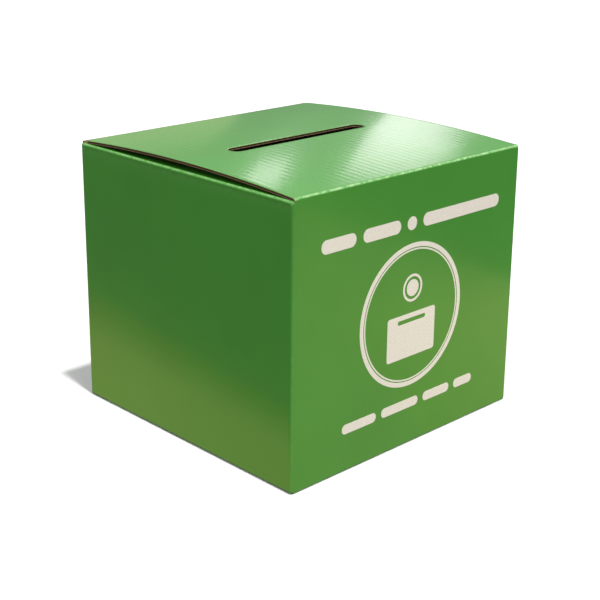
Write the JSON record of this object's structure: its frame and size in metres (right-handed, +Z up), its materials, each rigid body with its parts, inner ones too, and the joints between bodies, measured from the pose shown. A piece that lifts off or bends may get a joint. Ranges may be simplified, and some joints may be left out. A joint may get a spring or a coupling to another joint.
{
  "type": "donation box",
  "caption": "Folded corrugated-board donation box with an arched tuck-in lid, a long money slot, dust flaps and a tuck-in bottom.",
  "frame": {"origin": "centre of the box's footprint on the surface it stands on", "axes": "+Z up, -Y out of the printed front wall, +X to the right of a person facing that wall"},
  "size_m": [0.24, 0.2361, 0.2155],
  "materials": {
    "printed_liner": "gloss laminate over green print",
    "kraft_liner": "matt brown kraft",
    "kraft_fluting": "matt brown kraft",
    "seam_glue": "dried white glue",
    "cream_ink": "printed ink under laminate"
  },
  "bodies": {
    "sleeve": {"front_wall_outer_liner": "printed_liner", "front_wall_fluting": "kraft_fluting", "front_wall_inner_liner": "kraft_liner", "back_wall_outer_liner": "printed_liner", "back_wall_fluting": "kraft_fluting", "back_wall_inner_liner": "kraft_liner", "left_wall_outer_liner": "printed_liner", "left_wall_fluting": "kraft_fluting", "left_wall_inner_liner": "kraft_liner", "right_wall_outer_liner": "printed_liner", "right_wall_fluting": "kraft_fluting", "right_wall_inner_liner": "kraft_liner", "glue_flap_outer_liner": "printed_liner", "glue_flap_fluting": "kraft_fluting", "glue_flap_inner_liner": "kraft_liner", "front_left_crease": "printed_liner", "front_right_crease": "printed_liner", "back_left_crease": "printed_liner", "glue_flap_crease": "printed_liner", "seam_glue": "seam_glue", "front_print": "cream_ink"},
    "lid": {"lid_outer_liner": "printed_liner", "lid_fluting": "kraft_fluting", "lid_inner_liner": "kraft_liner", "lid_crease": "printed_liner"},
    "lid_tuck": {"lid_tuck_outer_liner": "printed_liner", "lid_tuck_fluting": "kraft_fluting", "lid_tuck_inner_liner": "kraft_liner", "lid_tuck_crease": "printed_liner"},
    "top_dust_left": {"top_dust_left_outer_liner": "printed_liner", "top_dust_left_fluting": "kraft_fluting", "top_dust_left_inner_liner": "kraft_liner", "top_dust_left_crease": "printed_liner"},
    "top_dust_right": {"top_dust_right_outer_liner": "printed_liner", "top_dust_right_fluting": "kraft_fluting", "top_dust_right_inner_liner": "kraft_liner", "top_dust_right_crease": "printed_liner"},
    "bottom": {"bottom_panel_outer_liner": "printed_liner", "bottom_panel_fluting": "kraft_fluting", "bottom_panel_inner_liner": "kraft_liner", "bottom_crease": "printed_liner"},
    "bottom_tuck": {"bottom_tuck_outer_liner": "printed_liner", "bottom_tuck_fluting": "kraft_fluting", "bottom_tuck_inner_liner": "kraft_liner", "bottom_tuck_crease": "printed_liner"},
    "bottom_dust_left": {"bottom_dust_left_outer_liner": "printed_liner", "bottom_dust_left_fluting": "kraft_fluting", "bottom_dust_left_inner_liner": "kraft_liner", "bottom_dust_left_crease": "printed_liner"},
    "bottom_dust_right": {"bottom_dust_right_outer_liner": "printed_liner", "bottom_dust_right_fluting": "kraft_fluting", "bottom_dust_right_inner_liner": "kraft_liner", "bottom_dust_right_crease": "printed_liner"}
  },
  "joints": [
    {"name": "lid_hinge", "type": "hinge", "parent": "sleeve", "child": "lid", "pos_m": [0, -0.116, 0.209], "axis": [1, 0, 0], "range_deg": [0, 110], "deforming": ["lid_crease"]},
    {"name": "lid_tuck_hinge", "type": "hinge", "parent": "lid", "child": "lid_tuck", "pos_m": [0, 0.1132, 0.209], "axis": [1, 0, 0], "range_deg": [0, 27.5], "deforming": ["lid_tuck_crease"]},
    {"name": "top_dust_left_hinge", "type": "hinge", "parent": "sleeve", "child": "top_dust_left", "pos_m": [-0.118, 0, 0.2069], "axis": [0, 1, 0], "range_deg": [0, 80], "deforming": ["top_dust_left_crease"]},
    {"name": "top_dust_right_hinge", "type": "hinge", "parent": "sleeve", "child": "top_dust_right", "pos_m": [0.118, 0, 0.2069], "axis": [0, -1, 0], "range_deg": [0, 80], "deforming": ["top_dust_right_crease"]},
    {"name": "bottom_hinge", "type": "hinge", "parent": "sleeve", "child": "bottom", "pos_m": [0, 0.116, 0.002], "axis": [1, 0, 0], "range_deg": [0, 110], "deforming": ["bottom_crease"]},
    {"name": "bottom_tuck_hinge", "type": "hinge", "parent": "bottom", "child": "bottom_tuck", "pos_m": [0, -0.1132, 0.002], "axis": [1, 0, 0], "range_deg": [0, 27.5], "deforming": ["bottom_tuck_crease"]},
    {"name": "bottom_dust_left_hinge", "type": "hinge", "parent": "sleeve", "child": "bottom_dust_left", "pos_m": [-0.118, 0, 0.002], "axis": [0, -1, 0], "range_deg": [0, 60], "deforming": ["bottom_dust_left_crease"]},
    {"name": "bottom_dust_right_hinge", "type": "hinge", "parent": "sleeve", "child": "bottom_dust_right", "pos_m": [0.118, 0, 0.002], "axis": [0, 1, 0], "range_deg": [0, 60], "deforming": ["bottom_dust_right_crease"]}
  ],
  "couplings": [
    {"joint": "lid_tuck_hinge", "follows": "lid_hinge", "ratio": 0.25},
    {"joint": "bottom_tuck_hinge", "follows": "bottom_hinge", "ratio": 0.25}
  ]
}
